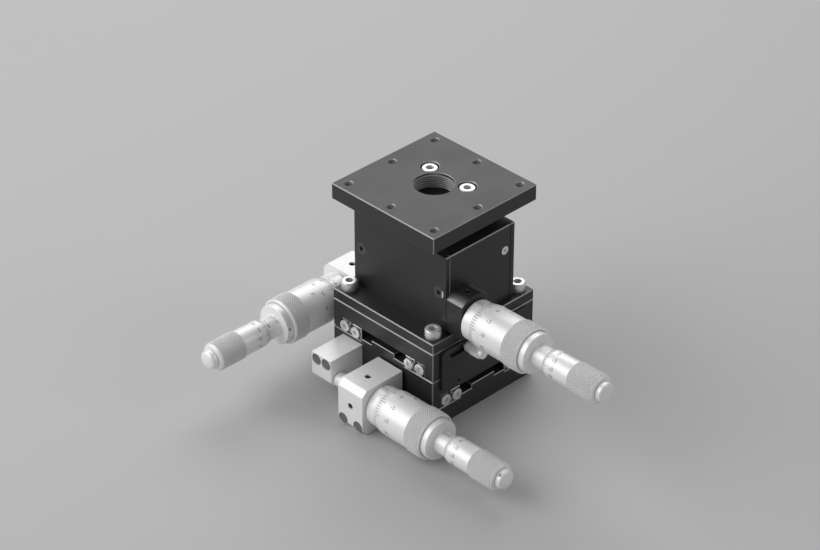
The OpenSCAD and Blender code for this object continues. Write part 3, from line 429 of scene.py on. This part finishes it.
def fine_sleeve(name):
    outline = [(0, RING_S), (RING_R, RING_S), (RING_R, RING_END_S - RING_EDGE),
               (RING_R - RING_EDGE, RING_END_S),
               (FINE_SLEEVE_R, RING_END_S), (FINE_SLEEVE_R, FINE_SLEEVE_END_S),
               (STEM_BORE_R, FINE_SLEEVE_END_S), (STEM_BORE_R, STEM_ROOM_S), (0, STEM_ROOM_S)]
    obj = turned(name, eased(outline, 0.2), 128)
    return drilled(obj, surface=RING_R, **RING_HOLE)


def fine_sleeve_marks(name):
    bm = bmesh.new()
    place = wrap([(RING_END_S, FINE_SLEEVE_R), (FINE_SLEEVE_END_S, FINE_SLEEVE_R)])
    ticks_along(bm, RING_END_S + 0.8, 0.5, 20, place, FINE_SLEEVE_R, 1.7, 1.2)
    for k, text in enumerate(("0", "5")):
        write(bm, text, -38, RING_END_S + 0.5 + 4.6 * k, place, FINE_SLEEVE_R, FINE_FIGURE_H)
    return finished(bm, name)


def fine_thimble(name):
    valley = FINE_KNURL_R - KNURL_DEPTH
    front = eased([(STEM_BORE_R, FINE_CAVITY_S), (FINE_BORE_R, FINE_CAVITY_S),
                   (FINE_BORE_R, FINE_S), (FINE_BEVEL_R, FINE_S),
                   (FINE_R, FINE_S + FINE_BEVEL_L), (FINE_R, FINE_KNURL_S - 0.35),
                   (FINE_R - 0.2, FINE_KNURL_S - 0.3), (FINE_R - 0.2, FINE_KNURL_S - 0.05)], 0.1)
    back = eased([(valley, FINE_KNURL_END_S + 0.05), (valley, FINE_KNURL_END_S + 0.2),
                  (FINE_RIM_R, FINE_END_S), (STEM_BORE_R, FINE_END_S)], 0.25)
    teeth = knurl(FINE_KNURL_S, FINE_KNURL_END_S, FINE_KNURL_R, KNURL_DEPTH, FINE_TEETH)
    return turned(name, front + teeth + back, 2 * FINE_TEETH)


def fine_marks(name):
    bm = bmesh.new()
    place = wrap([(FINE_S, FINE_BEVEL_R), (FINE_S + FINE_BEVEL_L, FINE_R),
                  (FINE_KNURL_S, FINE_R)])
    ticks_round(bm, FINE_DIVISIONS, FINE_S + 0.3, 2.1, place, FINE_R)
    for k in range(FINE_DIVISIONS // 5):
        write(bm, str(5 * k), -36 * k, FINE_S + 4.4, place, FINE_R, FINE_FIGURE_H)
    return finished(bm, name)


def end_cap(name, hole_angle):
    equator = CAP_S + CAP_L - CAP_CROWN
    crown = [(CAP_R * math.cos(a), equator + CAP_CROWN * math.sin(a))
             for a in [math.radians(7.5 * k) for k in range(12)]]
    outline = [(0, STEM_S), (STEM_R, STEM_S), (STEM_R, CAP_S), (CAP_R - 0.1, CAP_S),
               (CAP_R, CAP_S + 0.3)]
    obj = turned(name, outline + crown + [(0, CAP_S + CAP_L)], 96)
    return drilled(obj, surface=CAP_R, angle=hole_angle, **CAP_HOLE)


def head_frame(name):
    """Takes head coordinates, with angle 0 up and s outwards, to the frame."""
    low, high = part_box(name + "_sleeve")
    out = Vector(HEADS[name]["out"])
    up = Vector((0, 0, 1))
    side = out.cross(up)
    reach = abs((high - low).dot(out)) / 2
    origin = (low + high) / 2 + out * (SHANK_L * MM - reach)
    return Matrix.Translation(origin) @ Matrix((up, side, out)).transposed().to_4x4()


def add_head(name, looks):
    """Builds one head's pieces, puts them in place and hands them to their bodies."""
    head = HEADS[name]
    at_clamp = head_frame(name)
    moved = at_clamp @ Matrix.Translation((0, 0, head["shift"] * MM))
    chrome, ink = looks["satin_chrome"], looks["ink"]
    carrier, coarse = head["carrier"], name + "_coarse"
    fine, stem = name + "_fine", name + "_fine_stem"
    rows = [
        (sleeve(name + "_sleeve_body"), at_clamp, carrier, chrome, "_sleeve"),
        (sleeve_marks(name + "_sleeve_scale"), at_clamp, carrier, ink, None),
        (coarse_thimble(name + "_coarse_body"), moved, coarse, chrome, "_coarse_thimble"),
        (coarse_marks(name + "_coarse_scale"), moved, coarse, ink, None),
        (dimple_screw(name + "_coarse_set_screw"), moved, coarse, looks["bright_screw"], None),
        (fine_sleeve(name + "_fine_sleeve_body"), moved, coarse, chrome, "_fine_sleeve"),
        (fine_sleeve_marks(name + "_fine_sleeve_scale"), moved, coarse, ink, None),
        (fine_thimble(name + "_fine_body"), moved, fine, chrome, "_fine_thimble"),
        (fine_marks(name + "_fine_scale"), moved, fine, ink, None),
        (end_cap(name + "_cap_body", head["cap_turn"]), moved, stem, chrome, "_end_cap"),
    ]
    for obj, place, body, material, node in rows:
        obj.data.transform(place)
        obj.data.materials.append(material)
        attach(obj, body)
        if node:
            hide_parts(name + node)


def add_lock_screw(name, out, looks):
    """Builds a knurled lock screw that points out along the given direction."""
    collar, neck, end = KNOB_L * 0.2, KNOB_L * 0.29, KNOB_L * 0.81
    low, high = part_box(name + "_lock_screw")
    reach = abs((high - low).dot(out))
    foot = KNOB_L - reach / MM
    front = eased([(LOCK_THREAD_R, foot), (LOCK_THREAD_R, 0), (COLLAR_R, 0), (COLLAR_R, collar),
                   (NECK_R, collar), (NECK_R, neck), (GRIP_R - GRIP_DEPTH, neck)], 0.15)
    back = eased([(GRIP_R - GRIP_DEPTH, end + 0.05), (GRIP_R - 0.7, KNOB_L), (0, KNOB_L)], 0.2)
    teeth = [(GRIP_R - GRIP_DEPTH, s, GRIP_R, 0) for s in (neck + 0.15, end)]
    obj = turned(name + "_lock_knob", [(0, foot)] + front + teeth + back, 2 * GRIP_TEETH)
    side = out.cross(Vector((0, 0, 1)))
    turn = Matrix((Vector((0, 0, 1)), side, out)).transposed().to_4x4()
    tip = (low + high) / 2 + out * (reach / 2 - KNOB_L * MM)
    obj.data.transform(Matrix.Translation(tip) @ turn)
    obj.data.materials.append(looks["satin_chrome"])
    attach(obj, name + "_lock")
    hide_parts(name + "_lock_screw")


def screws(name, outline, places, socket_r, body, node, looks):
    """Builds equal screws at several places as one object, with painted shade in the sockets."""
    one = turned(name + "_one", outline, 48)
    bm = bmesh.new()
    for place in places:
        copy = one.data.copy()
        # faces in the key recess take the socket material, a darker colour painted in as shade
        for face in copy.polygons:
            centre = face.center / MM
            face.material_index = int(math.hypot(centre.x, centre.y) < socket_r
                                      and centre.z > outline[0][1] - 0.1)
        copy.transform(place)
        bm.from_mesh(copy)
        bpy.data.meshes.remove(copy)
    mesh = bpy.data.meshes.new(name)
    bm.to_mesh(mesh)
    bm.free()
    mesh.set_sharp_from_angle(angle=math.radians(28))
    obj = bpy.data.objects.new(name, mesh)
    bpy.context.scene.collection.objects.link(obj)
    bpy.data.objects.remove(one)
    obj.data.materials.append(looks["bright_screw"])
    obj.data.materials.append(looks["socket"])
    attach(obj, body)
    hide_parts(node)


def socket_outline(shank):
    """Outline of a socket bolt with the top of its head at s = 0."""
    r, side = BOLT_HEAD_R, BOLT_HEAD_L
    return [(0, -BOLT_KEY_L - 0.5), (BOLT_KEY_R, -BOLT_KEY_L, "hexagon"),
            (BOLT_KEY_R, -0.2, "hexagon"), (BOLT_KEY_R + 0.32, -0.02), (r - BOLT_EDGE, 0),
            (r - 0.6 * BOLT_EDGE, -0.06), (r - 0.2 * BOLT_EDGE, -0.25), (r, -BOLT_EDGE),
            (r, -side + 0.3), (r - 0.1, -side), (BOLT_SHANK_R, -side), (BOLT_SHANK_R, -shank),
            (0, -shank)]


def add_bolts(looks):
    """Socket bolts at the corners of the adapter and beside the central hole."""
    for name, body, corners in (
            ("adapter_bolts", "table", [(-1, -1), (1, -1), (-1, 1), (1, 1)]),
            ("top_plate_bolts", "lift", [(-1, 1), (1, -1)])):
        low, high = (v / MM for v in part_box(name))
        places = []
        for i, j in corners:
            x = high.x - BOLT_HEAD_R if i > 0 else low.x + BOLT_HEAD_R
            y = high.y - BOLT_HEAD_R if j > 0 else low.y + BOLT_HEAD_R
            turn = Matrix.Rotation(math.radians(17 + 40 * i + 25 * j), 4, "Z")
            places.append(Matrix.Translation(Vector((x, y, high.z)) * MM) @ turn)
        screws(name + "_set", socket_outline(high.z - low.z), places, BOLT_KEY_R * 1.12, body,
               name, looks)


def end_outline():
    """Outline of a cross screw with the front of its head at s = 0."""
    r, side = END_HEAD_R, END_HEAD_L
    shank = side + END_THREAD_L
    return [(0, -CROSS_L), (CROSS_R * 0.8, -CROSS_L * 0.8, "cross"), (CROSS_R, 0, "cross"),
            (CROSS_R + 0.25, 0), (r - END_EDGE, 0), (r - 0.3 * END_EDGE, -0.1), (r, -END_EDGE),
            (r, -side + 0.1), (r - 0.1, -side), (END_THREAD_R, -side), (END_THREAD_R, -shank),
            (0, -shank)]


def add_end_screws(looks):
    """Cross screws in the ends of all the rails."""
    for name, body, rows in RAIL_SCREWS:
        places = []
        for axis, offset, z in rows:
            for end in (-1, 1):
                for side in (-1, 1):
                    along, across = end * END_FACE, side * offset
                    spot = (along, across, z) if axis == "x" else (across, along, z)
                    out = Vector((end, 0, 0) if axis == "x" else (0, end, 0))
                    twist = Matrix.Rotation(math.radians(20 + 31 * end + 13 * side), 4, "Z")
                    turn = out.to_track_quat("Z", "Y").to_matrix().to_4x4() @ twist
                    places.append(Matrix.Translation(Vector(spot) * MM) @ turn)
        screws(name + "_set", end_outline(), places, CROSS_R, body, name, looks)


def add_threads(looks):
    """Threads in the top plate's central hole and in its mounting holes."""
    low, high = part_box("top_plate")
    x, y = (low.x + high.x) / 2 / MM, (low.y + high.y) / 2 / MM
    z0, z1 = low.z / MM, high.z / MM
    bm = bmesh.new()
    helix(bm, x, y, z0 + 0.1, z1 - CENTRE_EDGE, CENTRE_R, CENTRE_RISE, CENTRE_PITCH, 96)
    for i in (-1, 0, 1):
        for j in (-1, 0, 1):
            if i or j:
                helix(bm, x + i * HOLE_GRID, y + j * HOLE_GRID, z0 + 0.1,
                      z1 - CENTRE_EDGE, HOLE_R, HOLE_RISE, HOLE_PITCH, 20)
    obj = finished(bm, "top_plate_threads")
    obj.data.materials.append(looks["black_anodised"])
    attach(obj, "lift")


# Finishes

def link(tree, source, output, target, socket):
    tree.links.new(source.outputs[output], target.inputs[socket])


def add_node(tree, kind, **inputs):
    """Adds a shader node and sets its inputs, with _ for the space in a name."""
    made = tree.nodes.new("ShaderNode" + kind)
    for name, value in inputs.items():
        made.inputs[name.replace("_", " ")].default_value = value
    return made


def add_maths(tree, operation, first, first_output, second, second_output):
    """Adds a sum or a comparison of two outputs."""
    made = add_node(tree, "Math")
    made.operation = operation
    link(tree, first, first_output, made, 0)
    link(tree, second, second_output, made, 1)
    return made


def add_spread(tree, pattern, low, high):
    """Spreads the grain pattern between two values."""
    made = add_node(tree, "MapRange", From_Min=GRAIN_LOW, From_Max=GRAIN_HIGH, To_Min=low,
                    To_Max=high)
    link(tree, pattern, 0, made, "Value")
    return made


def add_color_mix(tree, blend, second):
    """Adds a mix of colours with its second colour set, if there is one."""
    made = add_node(tree, "Mix")
    made.data_type = "RGBA"
    made.blend_type = blend
    if second:
        made.inputs[7].default_value = (*second, 1)
    return made


def add_tint(tree, color, tone):
    """Adds the base colour, varied by the grain."""
    tint = add_color_mix(tree, "MULTIPLY", None)
    tint.inputs["Factor"].default_value = 1.0
    tint.inputs[6].default_value = (*color, 1)
    tree.links.new(tone.outputs["Result"], tint.inputs[7])
    return tint


def metal(name, color, metallic, roughness, grain, spread=0.06, bump=0.02, stretch=(1, 1, 1),
          edge=None, front=None, shaded_grooves=False):
    """A metal finish with grain in its colour, roughness and bump.

    grain is the grain size in millimetres and spread is how much colour and gloss vary.
    stretch draws the grain out, and edge is a lighter colour painted on the chamfered edges as a
    highlight.
    front is a lighter colour for what stands at the lift's cover, and the groove flag darkens
    the bottom of a knurl with painted shade.
    """
    mat = bpy.data.materials.new(name)
    mat.use_nodes = True
    tree = mat.node_tree
    shader = tree.nodes["Principled BSDF"]
    shader.inputs["Metallic"].default_value = metallic
    coords = add_node(tree, "TexCoord")
    mapping = add_node(tree, "Mapping", Scale=[s / (grain * MM) for s in stretch])
    link(tree, coords, "Object", mapping, "Vector")
    fine = add_node(tree, "TexNoise", Scale=1.0, Detail=3.0)
    link(tree, mapping, "Vector", fine, "Vector")
    broad = add_node(tree, "TexNoise", Scale=BROAD_GRAIN, Detail=4.0)
    link(tree, coords, "Object", broad, "Vector")
    both = add_maths(tree, "ADD", fine, "Fac", broad, "Fac")
    tint = add_tint(tree, color, add_spread(tree, both, 1 - spread, 1 + spread))
    gloss = add_spread(tree, both, roughness * (1 - 2 * spread), roughness * (1 + 2 * spread))
    link(tree, gloss, "Result", shader, "Roughness")
    relief = add_node(tree, "Bump", Strength=0.35, Distance=bump * MM)
    link(tree, fine, "Fac", relief, "Height")
    link(tree, relief, "Normal", shader, "Normal")
    if edge:
        add_edge_highlight(tree, coords, tint, edge, shader)
    elif front:
        add_front(tree, coords, tint, front, shader)
    elif shaded_grooves:
        add_groove_shade(tree, tint, shader)
    else:
        tree.links.new(tint.outputs[2], shader.inputs["Base Color"])
    return mat


def add_edge_highlight(tree, coords, tint, edge, shader):
    """Paints a highlight on faces that look along none of the three axes, which are the
    chamfers.
    """
    absolute = add_node(tree, "VectorMath")
    absolute.operation = "ABSOLUTE"
    link(tree, coords, "Normal", absolute, 0)
    parts = add_node(tree, "SeparateXYZ")
    link(tree, absolute, "Vector", parts, "Vector")
    first = add_maths(tree, "MAXIMUM", parts, "X", parts, "Y")
    second = add_maths(tree, "MAXIMUM", first, 0, parts, "Z")
    mask = add_node(tree, "MapRange", From_Min=0.97, From_Max=0.8)
    link(tree, second, 0, mask, "Value")
    blend_in(tree, tint, edge, mask, "Result", shader)


def add_front(tree, coords, tint, front, shader):
    """Lightens what lies beyond the cover's inner face along X."""
    parts = add_node(tree, "SeparateXYZ")
    link(tree, coords, "Object", parts, "Vector")
    mask = add_node(tree, "Math")
    mask.operation = "GREATER_THAN"
    mask.inputs[1].default_value = COVER_FACE * MM
    link(tree, parts, "X", mask, 0)
    blend_in(tree, tint, front, mask, 0, shader)


def blend_in(tree, tint, second, mask, output, shader):
    """Puts a second colour on the base colour where the mask is set."""
    mixed = add_color_mix(tree, "MIX", second)
    link(tree, mask, output, mixed, "Factor")
    tree.links.new(tint.outputs[2], mixed.inputs[6])
    tree.links.new(mixed.outputs[2], shader.inputs["Base Color"])


def add_groove_shade(tree, tint, shader):
    """Darkens the bottom of a knurl's grooves, where less light comes in."""
    groove = add_node(tree, "Attribute")
    groove.attribute_name = "groove"
    shade = add_node(tree, "MapRange", To_Min=1.0, To_Max=1 - GROOVE_SHADE)
    link(tree, groove, "Fac", shade, "Value")
    dim = add_node(tree, "VectorMath")
    dim.operation = "SCALE"
    tree.links.new(tint.outputs[2], dim.inputs[0])
    link(tree, shade, "Result", dim, "Scale")
    link(tree, dim, "Vector", shader, "Base Color")


def make_looks():
    return {
        # the edge colour of black_anodised is a painted highlight on its chamfers
        "black_anodised": metal("black_anodised", (0.034, 0.034, 0.035), 0.3, 0.38, 0.25,
                                spread=0.1, edge=(0.3, 0.3, 0.31)),
        "black_lock_plate": metal("black_lock_plate", (0.028, 0.028, 0.03), 0.0, 0.55, 0.3,
                                  spread=0.1, bump=0.03),
        "clear_anodised": metal("clear_anodised", (0.91, 0.915, 0.92), 0.15, 0.34, 0.2,
                                spread=0.04),
        # satin_chrome gets painted shade in the bottom of its knurl grooves
        "satin_chrome": metal("satin_chrome", (0.93, 0.93, 0.935), 0.2, 0.36, 0.15,
                              spread=0.03, bump=0.01, shaded_grooves=True),
        # the edge colour of rail_steel is a painted highlight on its chamfers
        "rail_steel": metal("rail_steel", (0.07, 0.07, 0.072), 0.6, 0.4, 0.2,
                            stretch=(0.1, 0.1, 1), edge=(0.7, 0.7, 0.71)),
        "bright_screw": metal("bright_screw", (0.78, 0.785, 0.79), 0.6, 0.34, 0.3, bump=0.01),
        "dark_screw": metal("dark_screw", (0.07, 0.07, 0.072), 0.8, 0.34, 0.3),
        "plain_bolt": metal("plain_bolt", (0.17, 0.17, 0.175), 0.3, 0.5, 0.3),
        # socket is a darker colour painted into the key and cross recesses as shade
        "socket": metal("socket", (0.6, 0.6, 0.605), 0.3, 0.45, 0.3),
        "housing_screw": metal("housing_screw", (0.08, 0.08, 0.082), 0.5, 0.3, 0.3,
                               front=(0.85, 0.85, 0.855)),
        "ink": metal("ink", (0.03, 0.03, 0.032), 0.0, 0.5, 0.2),
    }


def dress_nodes(nodes, looks):
    """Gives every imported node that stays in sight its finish."""
    for name, obj in nodes.items():
        slot = next((s for word, s in FINISH_WORDS if word in name), "black_anodised")
        if any(word in name for word in ("thimble", "sleeve", "end_cap", "lock_screw")):
            slot = "satin_chrome"
        if not obj.material_slots:
            obj.data.materials.append(looks[slot])
        for place in obj.material_slots:
            place.material = looks[slot]


# Stage

def add_floor():
    bm = bmesh.new()
    bmesh.ops.create_grid(bm, x_segments=8, y_segments=8, size=FLOOR_HALF)
    floor = finished(bm, "floor")
    mat = bpy.data.materials.new("floor_paper")
    mat.use_nodes = True
    tree = mat.node_tree
    shader = tree.nodes["Principled BSDF"]
    shader.inputs["Roughness"].default_value = 0.6
    speck = tree.nodes.new("ShaderNodeTexNoise")
    speck.inputs["Scale"].default_value = 3.0
    ramp = tree.nodes.new("ShaderNodeMapRange")
    ramp.inputs["To Min"].default_value = 0.5
    ramp.inputs["To Max"].default_value = 0.52
    link(tree, speck, "Fac", ramp, "Value")
    link(tree, ramp, "Result", shader, "Base Color")
    floor.data.materials.append(mat)


def add_area(name, direction, distance, size, power):
    """A soft lamp that stands in a direction from the object and looks at it."""
    data = bpy.data.lights.new(name, "AREA")
    data.shape = "RECTANGLE"
    data.size, data.size_y = size[0] * MM, size[1] * MM
    data.energy = power
    lamp = bpy.data.objects.new(name, data)
    way = Vector(direction).normalized()
    lamp.location = Vector(CAMERA_AIM) * MM + way * distance * MM
    lamp.rotation_euler = way.to_track_quat("Z", "Y").to_euler()
    bpy.context.scene.collection.objects.link(lamp)


def add_lights():
    world = bpy.data.worlds.new("studio")
    bpy.context.scene.world = world
    world.use_nodes = True
    backdrop = world.node_tree.nodes["Background"]
    backdrop.inputs["Color"].default_value = (1, 1, 1, 1)
    backdrop.inputs["Strength"].default_value = 0.25
    add_area("left_box", (-0.5, -0.75, 0.55), 1100, (1300, 1000), 9.2)
    add_area("top_box", (-0.5, 0.55, 0.7), 1000, (900, 700), 4.6)
    add_area("right_box", (0.75, 0.45, 0.55), 1100, (400, 600), 1.4)


def add_camera():
    azimuth, elevation = math.radians(CAMERA_AZIMUTH), math.radians(CAMERA_ELEVATION)
    back = Vector((math.sin(azimuth) * math.cos(elevation),
                   -math.cos(azimuth) * math.cos(elevation), math.sin(elevation)))
    right = Vector((math.cos(azimuth), math.sin(azimuth), 0))
    turn = Matrix((right, back.cross(right), back)).transposed().to_4x4()
    data = bpy.data.cameras.new("camera")
    data.lens, data.sensor_width = LENS, SENSOR
    camera = bpy.data.objects.new("camera", data)
    place = Matrix.Translation((Vector(CAMERA_AIM) + back * CAMERA_DISTANCE) * MM)
    camera.matrix_world = place @ turn @ Matrix.Rotation(math.radians(CAMERA_ROLL), 4, "Z")
    bpy.context.scene.collection.objects.link(camera)
    bpy.context.scene.camera = camera


def main():
    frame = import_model()
    looks = make_looks()
    dress_nodes(frame["nodes"], looks)
    for name in HEADS:
        add_head(name, looks)
    add_lock_screw("x", Vector((0, 1, 0)), looks)
    add_lock_screw("y", Vector((1, 0, 0)), looks)
    add_bolts(looks)
    add_end_screws(looks)
    add_threads(looks)
    add_floor()
    add_lights()
    add_camera()
    bpy.context.scene.view_settings.view_transform = "Standard"


main()
